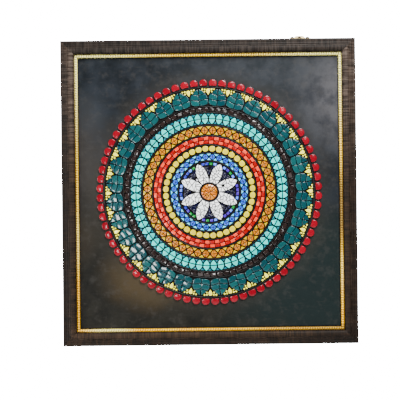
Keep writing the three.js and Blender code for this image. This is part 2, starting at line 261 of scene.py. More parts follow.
# Dark frame rails
# Four lengths of soft wood moulding, mitred and joined at the corners. They are stained
# near-black brown over a cross-brushed ground and waxed, with a raised and rounded inner half.
# Their backs are left as bare pine.
# Light and shade are painted into the stain too: each length has its own brightness, lighter above and
# to the upper right, darker towards the floor.
RAIL_EDGE_ROUND = 0.003
RAIL_STEP_HEIGHT = 0.0018
RAIL_CREST_WIDTH = 0.0135
RAIL_INNER_DROP = 0.005
RAIL_STEP = RAIL_WIDTH - RAIL_CREST_WIDTH
RAIL_GROOVES = (0.8, 0.36)
GROOVE_HALF = 0.06
GROOVE_DEPTH = 0.0005
REBATE_WIDTH = 0.0065
REBATE_DEPTH = 0.0156
SHARP_EDGE = math.radians(40)


def curve_through(start, control, end, steps):
    """The points of a quadratic curve after its start."""
    points = []
    for step in range(1, steps + 1):
        t = step / steps
        points.append(tuple(
            (1 - t) ** 2 * a + 2 * t * (1 - t) * b + t * t * c
            for a, b, c in zip(start, control, end)))
    return points


def rail_section():
    """Points round the moulding: distance from the outer edge, and height from the wall."""
    back = RAIL_WIDTH - REBATE_WIDTH
    flat = FRAME_DEPTH - RAIL_STEP_HEIGHT - RAIL_EDGE_ROUND / 2
    inner = (RAIL_WIDTH, FRAME_DEPTH - RAIL_INNER_DROP)
    crest = (RAIL_STEP + RAIL_CREST_WIDTH / 3, FRAME_DEPTH)
    shoulder = (RAIL_EDGE_ROUND, RAIL_SIDE_HEIGHT + RAIL_EDGE_ROUND)
    points = [(0, 0), (back, 0), (back, REBATE_DEPTH), (RAIL_WIDTH, REBATE_DEPTH), inner]
    points += curve_through(inner, (RAIL_WIDTH - 0.001, FRAME_DEPTH), crest, 8)
    points += curve_through(crest, (RAIL_STEP + 0.001, FRAME_DEPTH), (RAIL_STEP, flat), 5)
    for groove in RAIL_GROOVES:
        for aside, cut in ((GROOVE_HALF, 0), (0, GROOVE_DEPTH), (-GROOVE_HALF, 0)):
            share = groove + aside
            across = shoulder[0] + (RAIL_STEP - shoulder[0]) * share
            height = shoulder[1] + (flat - shoulder[1]) * share
            points.append((across, height - cut))
    points.append(shoulder)
    points += curve_through(shoulder, (0, shoulder[1]), (0, RAIL_SIDE_HEIGHT), 5)
    return points


def whole(bm):
    return bm.verts[:] + bm.edges[:] + bm.faces[:]


def mitred_bar(section, length, turn_count, reach):
    """A length of moulding with mitred ends, turned to its side of the frame."""
    bm = bmesh.new()
    corners = [bm.verts.new((-length / 2, -height, -across)) for across, height in section]
    face = bm.faces.new(corners)
    run = bmesh.ops.extrude_face_region(bm, geom=[face], use_keep_orig=True)
    far = [item for item in run["geom"] if isinstance(item, bmesh.types.BMVert)]
    bmesh.ops.translate(bm, vec=(length, 0, 0), verts=far)
    for end in (-1, 1):
        cut = bmesh.ops.bisect_plane(
            bm, geom=whole(bm), dist=1e-7, clear_outer=True,
            plane_co=(end * length / 2, 0, 0), plane_no=(end, 0, -1))
        rim = [item for item in cut["geom_cut"] if isinstance(item, bmesh.types.BMEdge)]
        bmesh.ops.edgenet_fill(bm, edges=rim)
    bmesh.ops.recalc_face_normals(bm, faces=bm.faces[:])
    across = bm.verts.layers.float.new("across")
    for vert in bm.verts:
        vert[across] = -vert.co.z
    grain = bm.loops.layers.uv.new("grain")
    for face in bm.faces:
        for loop in face.loops:
            place = loop.vert.co
            loop[grain].uv = (place.x, -place.z - 0.8 * place.y)
    settle = Matrix.Translation((MIDDLE.x, 0, MIDDLE.z))
    settle @= Matrix.Rotation(turn_count * math.pi / 2, 4, "Y") @ Matrix.Translation((0, 0, reach))
    bmesh.ops.transform(bm, matrix=settle, verts=bm.verts)
    return bm


def rail_finish(side, side_shade, edge_shade):
    """The finish of one length. Light and shade are painted in: each length has its own brightness,
    lighter above and darker towards the floor.
    """
    surface = Surface(side + "_rail_finish", Specular_IOR_Level=0.12)
    grain = surface.node("UVMap", {"uv_map": "grain"}, {})

    def streaks(along, across, detail, roughness):
        sockets = {0: grain, 1: (along, across, 1)}
        stretched = surface.node("VectorMath", {"operation": "MULTIPLY"}, sockets)
        return surface.cloud(stretched, 1.0, detail, roughness)

    hatch = streaks(340, 26, 3.0, 0.55)
    broad = streaks(30, 50, 3.0, 0.6)
    ridge = streaks(5, 700, 2.0, 0.5)
    patches = streaks(75, 35, 2.0, 0.5)
    across = surface.drawn("across")
    x, y, z = surface.parts(surface.place((1, 1, 1), MIDDLE))
    # Painted light: the rails are lighter higher up, where the light from above falls.
    high = z.between(-0.04, 0.28)
    inner = across.between(RAIL_STEP, RAIL_STEP + 0.002)
    from_step = surface.size_of(across - RAIL_STEP)
    # A lighter line along the step: wear rubbed through the stain, and a painted highlight on the
    # ridge.
    rubbed_and_highlit = (1 - from_step.between(0.0003, 0.0009)) * broad.between(0.4, 0.55)
    stripe = hatch.between(0.4, 0.64)
    ground = surface.mix(broad.between(0.35, 0.65), paint(28, 22, 17), paint(41, 31, 24))
    # Painted highlights on the hatching of the upper rails.
    hatch_colour = surface.mix(high, paint(59, 45, 33), paint(80, 70, 63))
    brushed = surface.mix(stripe * (0.5 + inner * 0.35), ground, hatch_colour)
    fine = surface.mix(ridge.between(0.5, 0.7) * 0.5, brushed, paint(17, 14, 13))
    rubbed_and_highlit_ridge = surface.mix(rubbed_and_highlit * 0.6, fine, paint(84, 73, 64))
    # Painted light: the outer part is lighter to the right and darker to the left, and the bottom
    # rail's brightness varies along it.
    sideways = 1 + (1 - inner) * (0.16 * x.between(-0.2, 0.3) - 0.08)
    low = 1 - z.between(-0.3, -0.26)
    ends = 1 + low * (0.25 - 0.25 * x.between(-0.28, -0.1) - 0.5 * x.between(0.14, 0.25))
    taken = 0.86 + 0.26 * patches.between(0.35, 0.65)
    # Painted light from above and the side, times the random patches of stain.
    light = (0.56 + 0.5 * high) * sideways * ends * taken
    # Painted shade: the outer band of each length is lighter or darker as the light falls on it.
    inward = edge_shade + (1 - edge_shade) * across.between(0.006, 0.02)
    stain_and_shade = surface.mix(1.0, rubbed_and_highlit_ridge, light * inward * side_shade, "MULTIPLY")
    pine = surface.mix(ridge.between(0.35, 0.65), paint(148, 116, 78), paint(120, 90, 58))
    bare = (y + (broad - 0.5) * 0.002).between(RAIL_SIDE_HEIGHT - 0.001, RAIL_SIDE_HEIGHT - 0.0004)
    colour = surface.mix(bare, stain_and_shade, pine)
    relief = hatch * (0.3 + inner * 0.5) + ridge * 0.3
    return surface.finish(colour, 0.55 - rubbed_and_highlit * 0.15 + broad * 0.1, (relief, 0.6, 0.0009))


def show(name, bm, material, sharp=SHARP_EDGE):
    """Makes the finished object of a piece, which rides on the plaque's one body."""
    bmesh.ops.recalc_face_normals(bm, faces=bm.faces[:])
    mesh = as_mesh(bm, name)
    mesh.shade_smooth()
    mesh.set_sharp_from_angle(angle=sharp)
    mesh.materials.append(material)
    piece = put(name, mesh)
    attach(piece, "root")
    return piece


FRAME_SIDES = (
    ("top", 0, PLAQUE_WIDTH, PLAQUE_HEIGHT / 2),
    ("right", 1, PLAQUE_HEIGHT, PLAQUE_WIDTH / 2),
    ("bottom", 2, PLAQUE_WIDTH, PLAQUE_HEIGHT / 2),
    ("left", 3, PLAQUE_HEIGHT, PLAQUE_WIDTH / 2),
)
# Painted light and shade of each length: its own brightness, and that of its outer band.
RAIL_SHADES = {"top": (0.34, 1.2), "right": (0.98, 0.97), "bottom": (1.45, 0.7), "left": (1.1, 0.6)}
for side, turns, length, reach in FRAME_SIDES:
    bar = mitred_bar(rail_section(), length, turns, reach)
    rail = show(side + "_moulding", bar, rail_finish(side, *RAIL_SHADES[side]))
    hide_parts(side + "_rail")


# Gold slips
# Four narrow inner lengths, gilded over a yellow ground, with a row of small round beads along
# the top. They are mitred like the rails and held under the rails' lips, on the board.
# Light and shade are painted into the gold: pale glare near the top corners and higher up, and shade
# where the rails' lips overhang and along parts of the slips.
SLIP_SHOW = 0.0065
SLIP_FLANGE = 0.003
SLIP_GAP = 0.0003
SLIP_STEP = 0.0012
SLIP_CHAMFER = 0.0004
SLIP_NOSE = 0.0012
BEAD_PITCH = 0.005
BEAD_RADIUS = 0.0021
BEAD_RISE = BEAD_RADIUS * 1.5
BEAD_SINK = 0.0006
BEAD_LEAN = math.radians(38)
slip_low, slip_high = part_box("top_gold_slip")
SLIP_BACK = -slip_high.y
SLIP_TOP = -slip_low.y
BEAD_LINE = RAIL_WIDTH + SLIP_SHOW * 0.58
FILLET_HEIGHT = SLIP_TOP - BEAD_RISE


def slip_section():
    """Points round the slip, from its hidden flange over the rounded lip to a small step."""
    outer = RAIL_WIDTH - REBATE_WIDTH + SLIP_GAP
    start = RAIL_WIDTH + SLIP_GAP
    inner = RAIL_WIDTH + SLIP_SHOW
    flange = SLIP_BACK + SLIP_FLANGE
    step_top = FILLET_HEIGHT + SLIP_STEP
    points = [(outer, SLIP_BACK), (inner, SLIP_BACK), (inner, FILLET_HEIGHT - SLIP_NOSE)]
    points += curve_through(points[-1], (inner, FILLET_HEIGHT), (inner - 0.001, FILLET_HEIGHT), 3)
    points += [(start + SLIP_STEP + SLIP_CHAMFER, FILLET_HEIGHT), (start + SLIP_STEP, step_top)]
    points += [(start + SLIP_CHAMFER, step_top), (start, step_top - SLIP_CHAMFER)]
    points += [(start, flange), (outer, flange)]
    return points


def add_copy(bm, mesh, matrix):
    """Adds a mesh to a bmesh that has lost no points yet, and returns the new points."""
    start = len(bm.verts)
    bm.from_mesh(mesh)
    bm.verts.ensure_lookup_table()
    fresh = bm.verts[start:]
    bmesh.ops.transform(bm, matrix=matrix, verts=fresh)
    return fresh


def slip_bead():
    """One bead of the row, a little oval and leaning, cut off in the face that carries it."""
    bead = bmesh.new()
    bmesh.ops.create_icosphere(bead, subdivisions=2, radius=1)
    halves = (BEAD_PITCH * 0.56, BEAD_RISE, BEAD_RADIUS * 1.32)
    bmesh.ops.scale(bead, vec=halves, verts=bead.verts)
    bmesh.ops.rotate(bead, matrix=Matrix.Rotation(BEAD_LEAN, 3, "Y"), verts=bead.verts)
    bmesh.ops.bisect_plane(
        bead, geom=whole(bead), plane_co=(0, BEAD_SINK, 0), plane_no=(0, 1, 0), clear_outer=True)
    return as_mesh(bead, "slip_bead")


def beaded_slip(length, turn_count, reach, bead):
    """A length of slip with its beads, which carry how near a point is to the next hollow."""
    run = length - 2 * BEAD_LINE
    count = round(run / BEAD_PITCH)
    side = Matrix.Rotation(turn_count * math.pi / 2, 4, "Y")
    settle = Matrix.Translation((MIDDLE.x, 0, MIDDLE.z)) @ side
    slip = bmesh.new()
    hollow = slip.verts.layers.float.new("hollow")
    for index in range(count + 1):
        place = (-run / 2 + index * run / count, -FILLET_HEIGHT, reach - BEAD_LINE)
        fresh = add_copy(slip, bead, settle @ Matrix.Translation(place))
        for vert, origin in zip(fresh, bead.vertices):
            aside = origin.co.x - math.tan(BEAD_LEAN) * origin.co.z * 0.5
            vert[hollow] = abs(aside) / (BEAD_PITCH / 2)
    bar = mitred_bar(slip_section(), length, turn_count, reach)
    add_copy(slip, as_mesh(bar, "slip_bar"), Matrix.Identity(4))
    return slip


def slip_finish():
    surface = Surface(
        "gilded_finish", Metallic=0.06, Coat_Weight=0.05, Coat_Roughness=0.25,
        Specular_IOR_Level=0.25)
    where = surface.place()
    patches = surface.cloud(where, 26.0, 4.0, 0.6)
    specks = surface.cloud(where, 900.0, 2.0, 0.6)
    x, y, z = surface.parts(surface.place((1, 1, 1), MIDDLE))
    depth = y + (MIDDLE.y + SLIP_TOP)
    tone_shift = patches.between(0.35, 0.65)
    lower = surface.mix(tone_shift, paint(255, 198, 24), paint(250, 180, 10))
    upper = surface.mix(tone_shift, paint(253, 214, 74), paint(246, 194, 50))
    # Painted highlight: the gold is paler higher up, where the light falls on it.
    gold = surface.mix(z.between(-0.2, 0.16), lower, upper)

    def stretch(along, middle, half):
        """1 in the middle of a length of the slip, fading to 0 at both its ends."""
        return 1 - surface.size_of(along - middle).between(half * 0.2, half)

    on_left = 1 - x.between(-0.266, -0.25)
    on_right = x.between(0.25, 0.266)
    on_bottom = 1 - z.between(-0.28, -0.27)
    # Painted shade: darker gold along the middle of the right slip, on the upper left one and on the
    # right of the bottom one.
    darkening = on_right * stretch(z, -0.035, 0.13) * 0.92 + on_left * stretch(z, 0.15, 0.12) * 0.4
    darkening = darkening + on_bottom * x.between(-0.08, 0.26) * 0.68
    gold = surface.mix(darkening, gold, paint(116, 92, 46))
    # Painted glare: the gold turns near white towards the upper corners and in spots along the bottom,
    # left and right slips.
    painted_glare = surface.size_of(x).between(0.06, 0.24) * (z + patches * 0.06).between(0.08, 0.3)
    painted_glare = painted_glare + on_bottom * stretch(x, -0.21, 0.07) * 0.8 + on_left * stretch(z, -0.1, 0.08) * 0.45
    painted_glare = painted_glare + on_right * stretch(z, -0.17, 0.06) * 0.35
    gold = surface.mix(painted_glare, gold, paint(255, 247, 148))
    # Darker the deeper the surface lies below the slip's top, and towards the hollows between the
    # beads.
    darker_below_top = depth.between(0.0016, 0.004) * (0.75 - 0.6 * painted_glare)
    darkened_gold = surface.mix(darker_below_top, gold, paint(80, 52, 16))
    darkened_gold = surface.mix(surface.drawn("hollow").between(0.45, 0.95) * 0.6, darkened_gold, paint(92, 56, 18))
    # Painted shadow of the rails' lips on the slip's outer edge, reaching further in on the lower left
    # slip.
    lip_shadow_shift = on_left * (1 - z.between(-0.02, 0.2)) * 0.0006
    lip_shadow = (surface.inset(x, z) + lip_shadow_shift).between(-0.0016, -0.0009)
    darkened_gold = surface.mix(lip_shadow * 0.88, darkened_gold, paint(58, 28, 14))
    colour = surface.mix(specks.between(0.6, 0.75) * 0.4, darkened_gold, paint(110, 74, 22))
    return surface.finish(colour, 0.3 + patches * 0.18, (specks, 0.25, 0.0002))


gold_finish = slip_finish()
bead_mesh = slip_bead()
for side, turns, length, reach in FRAME_SIDES:
    slip = show(side + "_rope_slip", beaded_slip(length, turns, reach, bead_mesh), gold_finish)
    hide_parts(side + "_gold_slip")
bpy.data.meshes.remove(bead_mesh)


# Painted board
# One flat sheet, let into the rebate behind the slips. The front is painted in dark mottled
# layers, wiped and varnished, and black under the tiles. The back is bare brown fibreboard.
# Light is painted into the front as well: a sheen on the upper right, a glow at the lower left and a
# shadow along the slips.
BOARD_FRONT = -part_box("painted_board")[0].y


def radius_of(node):
    """Half the width of a round node."""
    low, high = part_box(node)
    return (high.x - low.x) / 2


MOSAIC_RADIUS = radius_of("black_line_9")


def board_finish():
    surface = Surface("painted_board_finish", Specular_IOR_Level=0.14)
    where = surface.place((1, 1, 1), MIDDLE)
    big = surface.cloud(where, 5.5, 4.0, 0.6)
    cloud = surface.cloud(where, 22.0, 5.0, 0.66)
    fine = surface.cloud(where, 70.0, 4.0, 0.6)
    brush = surface.cloud(surface.place((30, 1, 190), MIDDLE), 1.0, 3.0, 0.6)

    def zone(x, z, wide, high):
        """1 in the middle of a soft oval zone of the board, 0 outside it."""
        scaled = surface.place((1 / wide, 0, 1 / high), MIDDLE + Vector((x, 0, z)))
        away = surface.node("VectorMath", {"operation": "LENGTH"}, {0: scaled}, "Value")
        return 1 - (away + (cloud - 0.5) * 0.55).between(0.25, 1.0)

    flat = surface.place((1, 0, 1), MIDDLE)
    away = surface.node("VectorMath", {"operation": "LENGTH"}, {0: flat}, "Value")
    halo = 1 - (away + (cloud - 0.5) * 0.06).between(MOSAIC_RADIUS + 0.004, MOSAIC_RADIUS + 0.05)
    patch = cloud.between(0.34, 0.66)
    x, y, z = surface.parts(where)
    dark_slate = surface.mix(patch, paint(12, 17, 21), paint(27, 31, 36))
    light_slate = surface.mix(patch, paint(20, 25, 29), paint(36, 39, 43))
    # Lighter slate towards the upper right: lighter paint and painted light from the upper right.
    tone_shift = (x + (big - 0.5) * 0.3).between(-0.16, 0.02) * z.between(0.03, 0.2)
    slate = surface.mix(tone_shift, dark_slate, light_slate)
    charcoal = surface.mix(patch, paint(16, 16, 13), paint(29, 28, 24))
    # Paler slate in the upper right corner: lighter paint with a painted sheen on it.
    paint_and_sheen_slate = surface.mix(patch, paint(38, 39, 43), paint(66, 65, 67))
    paint_and_sheen_corner = surface.mix(zone(0.31, 0.19, 0.17, 0.17) * 0.94, slate, paint_and_sheen_slate)
    bluish = surface.mix(zone(-0.25, 0.165, 0.06, 0.07) * 0.4, paint_and_sheen_corner, paint(45, 49, 54))
    upper = surface.mix(zone(-0.27, 0.03, 0.1, 0.2) * 0.75, bluish, paint(45, 42, 39))
    lower = surface.mix(zone(0.26, -0.2, 0.34, 0.3), charcoal, paint(22, 30, 30))
    lower = surface.mix(zone(-0.28, -0.09, 0.07, 0.08) * 0.45, lower, paint(46, 40, 32))
    # A warm glow at the lower left: warm paint and a painted sheen of the light that falls there.
    glow = surface.mix(zone(-0.12, -0.175, 0.13, 0.09) * 0.85, lower, paint(60, 50, 33))
    split = z + (big - 0.5) * 0.2
    ground = surface.mix(split.between(-0.09, 0.05), glow, upper)
    ground = surface.mix(halo * 0.4, ground, paint(46, 43, 38))
    wiped = surface.mix(fine.between(0.5, 0.72) * 0.26, ground, paint(54, 52, 50))
    streaked = surface.mix(brush.between(0.56, 0.74) * 0.14, wiped, paint(60, 59, 56))
    under = 1 - away.between(MOSAIC_RADIUS - 0.0012, MOSAIC_RADIUS)
    # Painted shadow: a near-black strip on the board along the slips.
    slip_shadow = surface.inset(x, z).between(-SLIP_SHOW - 0.0026, -SLIP_SHOW - 0.0012)
    slip_shadowed = surface.mix(slip_shadow * 0.85, streaked, paint(10, 8, 6))
    grouted = surface.mix(under, slip_shadowed, paint(13, 11, 10))
    fibres = surface.cloud(surface.place((420, 420, 90)), 1.0, 3.0, 0.7)
    brown = surface.mix(fibres, paint(112, 84, 58), paint(150, 118, 84))
    front = -BOARD_FRONT - MIDDLE.y
    bare = y.between(front + 0.0004, front + 0.0008)
    colour = surface.mix(bare, grouted, brown)
    varnish = 0.36 + cloud * 0.18 + under * 0.3
    return surface.finish(
        colour, varnish + (0.85 - varnish) * bare,
        (brush * 0.5 + fine * 0.5, 0.22, 0.0006))


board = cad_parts["painted_board"]
board.data.materials.clear()
board.data.materials.append(board_finish())


# Black lines
# Nine raised circles of liner, run on the board by hand from a tube, from the boss outwards.
# They set out the bands before a tile is laid, and dry to a rounded semi-gloss bead.
LINE_COUNT = 9
LINE_WIDTH = 0.0026
LINE_RISE = 0.82
LINE_WAVER = 0.00022
LINE_STEPS = 180
ROUNDED_EDGE = math.radians(80)


def liner_finish():
    surface = Surface("black_liner_finish", Specular_IOR_Level=0.3)
    where = surface.place()
    grime = surface.cloud(where, 140.0)
    colour = surface.mix(grime, paint(7, 6, 6), paint(18, 16, 15))
    return surface.finish(colour, 0.34 + grime * 0.2, (surface.cloud(where, 420.0), 0.2, 0.0004))


def hand_run_line(inner, outer, height, seed):
    bm = bmesh.new()
    middle, half = (inner + outer) / 2, (outer - inner) / 2
    section = [bm.verts.new((middle - half, 0, 0))]
    for share in (0.9, 0.66, 0.5, 0.34, 0.1):
        angle = math.pi * share
        point = (middle + half * math.cos(angle), -height * math.sin(angle), 0)
        section.append(bm.verts.new(point))
    section.append(bm.verts.new((middle + half, 0, 0)))
    edges = [bm.edges.new(pair) for pair in zip(section, section[1:] + section[:1])]
    bmesh.ops.spin(
        bm, geom=section + edges, cent=(0, 0, 0), axis=(0, 1, 0), angle=2 * math.pi,
        steps=LINE_STEPS, use_merge=True)
    bmesh.ops.remove_doubles(bm, verts=bm.verts, dist=1e-6)
    for vert in bm.verts:
        spot = vert.co * 26 + Vector((seed, 3 * seed, 0))
        away = Vector((vert.co.x, 0, vert.co.z)).normalized()
        vert.co += away * noise.noise(spot) * LINE_WAVER
        vert.co.y *= 1 + 0.2 * noise.noise(spot * 1.7)
    bmesh.ops.translate(bm, vec=(MIDDLE.x, -BOARD_FRONT, MIDDLE.z), verts=bm.verts)
    return bm


line_material = liner_finish()
lines = []
for number in range(1, LINE_COUNT + 1):
    node = "black_line_" + str(number)
    low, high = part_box(node)
    outer = radius_of(node)
    lines.append((outer - LINE_WIDTH, outer))
    bm = hand_run_line(outer - LINE_WIDTH, outer, (high.y - low.y) * LINE_RISE, number)
    line = show("liner_circle_" + str(number), bm, line_material, ROUNDED_EDGE)
    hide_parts(node)


# Crimson scallops
# The outermost row: small hand-cut tiles of deep red glaze with a rounded outer end, pressed
# into adhesive on the board. Cutting leaves each a little different, and none lies quite flat.
BAND_GAP = 0.0003
TILE_SINK = 0.0002
TILE_ROUND = ((0.13, 0.5, 0.4), (0.37, 0.37, 0.7), (0.5, 0.13, 0.9))
CRIMSON_COUNT = 72
GLAZE_ROUGHNESS = 0.12
SHARD_LEAST_EDGE = 0.0014
SHARD_LEAST_WIDTH = 0.0009


def flat_tile(bm, corners):
    """One face in the plane of the board, looking out of the wall."""
    face = bm.faces.new([bm.verts.new(paint_and_sheen_corner) for paint_and_sheen_corner in corners])
    face.normal_update()
    if face.normal.y > 0:
        face.normal_flip()
    return face


def crush(bm, faces, largest, draw):
    """Breaks faces into shards of about the given area, by cuts across their length."""
    waiting = list(faces)
    shards = []
    while waiting:
        face = waiting.pop()
        if face.calc_area() < largest * draw.uniform(0.7, 1.4):
            shards.append(face)
            continue
        corners = [vert.co for vert in face.verts]
        ends = max(combinations(corners, 2), key=lambda two: (two[1] - two[0]).length)
        along = (ends[1] - ends[0]).normalized()
        along.rotate(Quaternion((0, 1, 0), draw.uniform(-0.5, 0.5)))
        where = face.calc_center_bounds()
        cut = bmesh.ops.bisect_plane(
            bm, geom=[face, *face.edges, *face.verts], plane_co=where, plane_no=along)
        halves = [item for item in cut["geom"] if isinstance(item, bmesh.types.BMFace)]
        breaks = [item for item in cut["geom_cut"] if isinstance(item, bmesh.types.BMEdge)]
        if len(halves) < 2:
            shards.append(face)
            continue
        bmesh.ops.split_edges(bm, edges=breaks)
        waiting += halves
    edges = {edge for shard in shards for edge in shard.edges}
    short = [edge for edge in edges if edge.calc_length() < SHARD_LEAST_EDGE]
    bmesh.ops.collapse(bm, edges=short)
    slivers = [
        face for face in bm.faces
        if face.calc_area() / face.calc_perimeter() < SHARD_LEAST_WIDTH]
    bmesh.ops.delete(bm, geom=slivers, context="FACES")
    return bm.faces[:]


def lay_tiles(name, outlines, material, height, seed, joint=0.001, edge=0.0007,
              crown=0.0001, shoulder=2.2, turn=0.012, lean=0.02, largest=None, dome=0.0, replaced=()):
    """Tiles cut to their outlines, spaced by a joint, thickened, rounded and laid by hand."""
    draw = random.Random(seed)
    bm = bmesh.new()
    tone = bm.verts.layers.float.new("tone")
    rise = bm.verts.layers.float.new("rise")
    faces = [flat_tile(bm, outline) for outline in outlines]
    widest = max(vert.co.length for vert in bm.verts)
    if largest:
        faces = crush(bm, faces, largest, draw)
    even = largest is None
    rims = bmesh.ops.inset_individual(bm, faces=faces, thickness=joint / 2, use_even_offset=even)
    bmesh.ops.delete(bm, geom=rims["faces"], context="FACES")
    for face in faces:
        spin = Matrix.Rotation(draw.gauss(0, turn), 3, "Y")
        bmesh.ops.rotate(bm, cent=face.calc_center_median(), matrix=spin, verts=face.verts)
        shade = draw.random()
        for vert in face.verts:
            vert[tone] = shade
    tops = bmesh.ops.extrude_discrete_faces(bm, faces=faces)["faces"]
    for top in tops:
        thickness = height * draw.uniform(0.88, 1.0) + TILE_SINK - edge
        bmesh.ops.translate(bm, vec=(0, -thickness, 0), verts=top.verts)
        middle = top.calc_center_median()
        for axis in "XZ":
            tilt = Matrix.Rotation(draw.gauss(0, lean), 3, axis)
            bmesh.ops.rotate(bm, cent=middle, matrix=tilt, verts=top.verts)
        for vert in top.verts:
            away = Vector((vert.co.x, vert.co.z)).length / widest
            vert.co.y -= dome * max(0.0, 1 - away * away)
            vert[rise] = 0.15
        top.normal_update()
    for inward, outward, share in TILE_ROUND + ((shoulder, crown / edge, 1.0),):
        bmesh.ops.inset_individual(
            bm, faces=tops, thickness=inward * edge, depth=outward * edge, use_even_offset=even)
        for top in tops:
            for vert in top.verts:
                vert[rise] = share
    settle = (MIDDLE.x, -BOARD_FRONT + TILE_SINK, MIDDLE.z)
    bmesh.ops.translate(bm, vec=settle, verts=bm.verts)
    piece = show(name, bm, material)
    if replaced:
        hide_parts(*replaced)
    return piece


def glaze(name, light, dark, rim, gloss=0.9):
    """Gloss glaze over clay: its tone differs from tile to tile, and it thins at the edges."""
    surface = Surface(name, Coat_Weight=gloss, Coat_Roughness=0.04, Specular_IOR_Level=0.2)
    where = surface.place()
    mottle = surface.cloud(where, 240.0, 3.0, 0.6)
    fleck = surface.cloud(where, 1300.0, 2.0, 0.5)
    tone = surface.drawn("tone")
    rise = surface.drawn("rise")
    fired = surface.mix(tone * 0.7 + mottle * 0.3, light, dark)
    thin = surface.mix(rise.between(0.1, 0.8), rim, fired)
    colour = surface.mix(fleck.between(0.62, 0.75) * 0.2, thin, rim)
    wave = surface.cloud(where, 150.0, 2.0, 0.5)
    return surface.finish(
        colour, GLAZE_ROUGHNESS + mottle * 0.14,
        (wave * 0.8 + fleck * 0.2, 0.06, 0.0006))


def ring_of(band, count, *shapes, first=0, skip=1):
    """Outlines for each pitch of a band. A shape is a list of (share of pitch, depth of band)."""
    inner, outer = band
    outlines = []
    for shape in shapes:
        for index in range(first, count, skip):
            outline = []
            for share, depth in shape:
                angle = (index + share) * 2 * math.pi / count
                radius = inner + depth * (outer - inner)
                outline.append(Vector((radius * math.cos(angle), 0, radius * math.sin(angle))))
            outlines.append(outline)
    return outlines


def oval(left, right, low, high, steps, power=1.0, half_turns=2.0):
    """Points round an oval, or round its first part of so many half turns."""
    points = []
    parts = steps if half_turns == 2 else steps - 1
    for step in range(steps):
        angle = math.pi * half_turns * step / parts
        across = math.copysign(abs(math.cos(angle)) ** power, math.cos(angle))
        along = math.copysign(abs(math.sin(angle)) ** power, math.sin(angle))
        points.append((
            (left + right + across * (right - left)) / 2,
            (low + high + along * (high - low)) / 2))
    return points


crimson_band = (MOSAIC_RADIUS + BAND_GAP, radius_of("crimson_scallops"))
scallop = [(0.07, 0.03), (0.93, 0.03)] + oval(0.02, 0.98, -0.14, 0.98, steps=10, half_turns=1.0)
lay_tiles(
    "crimson_tiles", ring_of(crimson_band, CRIMSON_COUNT, scallop),
    glaze("crimson_glaze", paint(132, 4, 30), paint(100, 3, 22), paint(40, 5, 12), gloss=0.3),
    height=0.0046, seed=1, joint=0.0022, edge=0.0011, crown=0.0003, lean=0.025,
    replaced=["crimson_scallops"])


# Teal leaves
# Long pointed leaves standing side by side, each cut in six along its midrib and its veins, so
# that dark joints draw them. Cream drops and beads fill the corners between their tips.
TEAL_COUNT = 32
LEAF_HALF = (
    (0, 0.2), (0.05, 0.42), (0.14, 0.487), (0.46, 0.487), (0.6, 0.43), (0.74, 0.325), (0.87, 0.19),
    (1, 0))
LEAF_VEINS = ((0.0, 0.3), (0.3, 0.6), (0.6, 0.985))
VEIN_SLANT = 0.1
LEAF_STEPS = 5


def band_between(number):
    """The inner and outer radius of the band outside a line, up to the next line."""
    return lines[number - 1][1] + BAND_GAP, lines[number][0] - BAND_GAP


def half_width(depth):
    for (low, narrow), (high, wide) in zip(LEAF_HALF, LEAF_HALF[1:]):
        if depth <= high:
            return narrow + (wide - narrow) * (depth - low) / (high - low)
    return 0.0


def leaf_part(side, low, high):
    """Part of one side of a leaf between two veins, which slant from the midrib to its tip."""
    start = low + VEIN_SLANT if low > 0 else 0.01
    end = min(0.985, high + VEIN_SLANT)
    points = [(0.5, max(low, 0.01))]
    for step in range(LEAF_STEPS + 1):
        depth = start + (end - start) * step / LEAF_STEPS
        points.append((0.5 + side * half_width(depth), depth))
    if end < 0.98:
        points.append((0.5, high))
    return points


teal_band = band_between(8)
leaf_parts = [leaf_part(side, low, high) for side in (-1, 1) for low, high in LEAF_VEINS]
lay_tiles(
    "teal_leaf_tiles", ring_of(teal_band, TEAL_COUNT, *leaf_parts),
    glaze("teal_glaze", paint(18, 74, 74), paint(8, 46, 54), paint(6, 22, 26)),
    height=0.0038, seed=2, joint=0.0011, edge=0.0006, lean=0.018, replaced=["teal_leaves"])

drop_side = [(0.085, 0.76), (0.11, 0.87), (0.06, 0.965)]
drop = [(0.0, 0.6), *drop_side] + [(-share, depth) for share, depth in reversed(drop_side)]
cream = glaze("cream_glaze", paint(248, 242, 84), paint(236, 224, 56), paint(110, 96, 26))
lay_tiles(
    "cream_drops", ring_of(teal_band, TEAL_COUNT, drop), cream,
    height=0.004, seed=3, joint=0.0003, edge=0.0007)


def lay_beads(name, places, radius, material, seed):
    """Small round beads set in the adhesive, sunk a little."""
    draw = random.Random(seed)
    round_bead = bmesh.new()
    bmesh.ops.create_icosphere(round_bead, subdivisions=2, radius=radius)
    bead = as_mesh(round_bead, name + "_form")
    bm = bmesh.new()
    tone = bm.verts.layers.float.new("tone")
    rise = bm.verts.layers.float.new("rise")
    settle = Vector((MIDDLE.x, -BOARD_FRONT - radius * 0.5, MIDDLE.z))
    for place in places:
        size = draw.uniform(0.86, 1.08)
        shade = draw.random()
        for vert in add_copy(bm, bead, Matrix.Translation(place + settle) @ Matrix.Scale(size, 4)):
            vert[tone] = shade
            vert[rise] = 1.0
    bpy.data.meshes.remove(bead)
    piece = show(name, bm, material, ROUNDED_EDGE)
    return piece


bead_spots = [(0.165, 0.93), (0.29, 0.935), (0.182, 0.8)]
bead_spots += [(-share, depth) for share, depth in bead_spots]
bead_places = [place for cell in ring_of(teal_band, TEAL_COUNT, bead_spots) for place in cell]
lay_beads("cream_beads", bead_places, radius=0.0021, material=cream, seed=4)


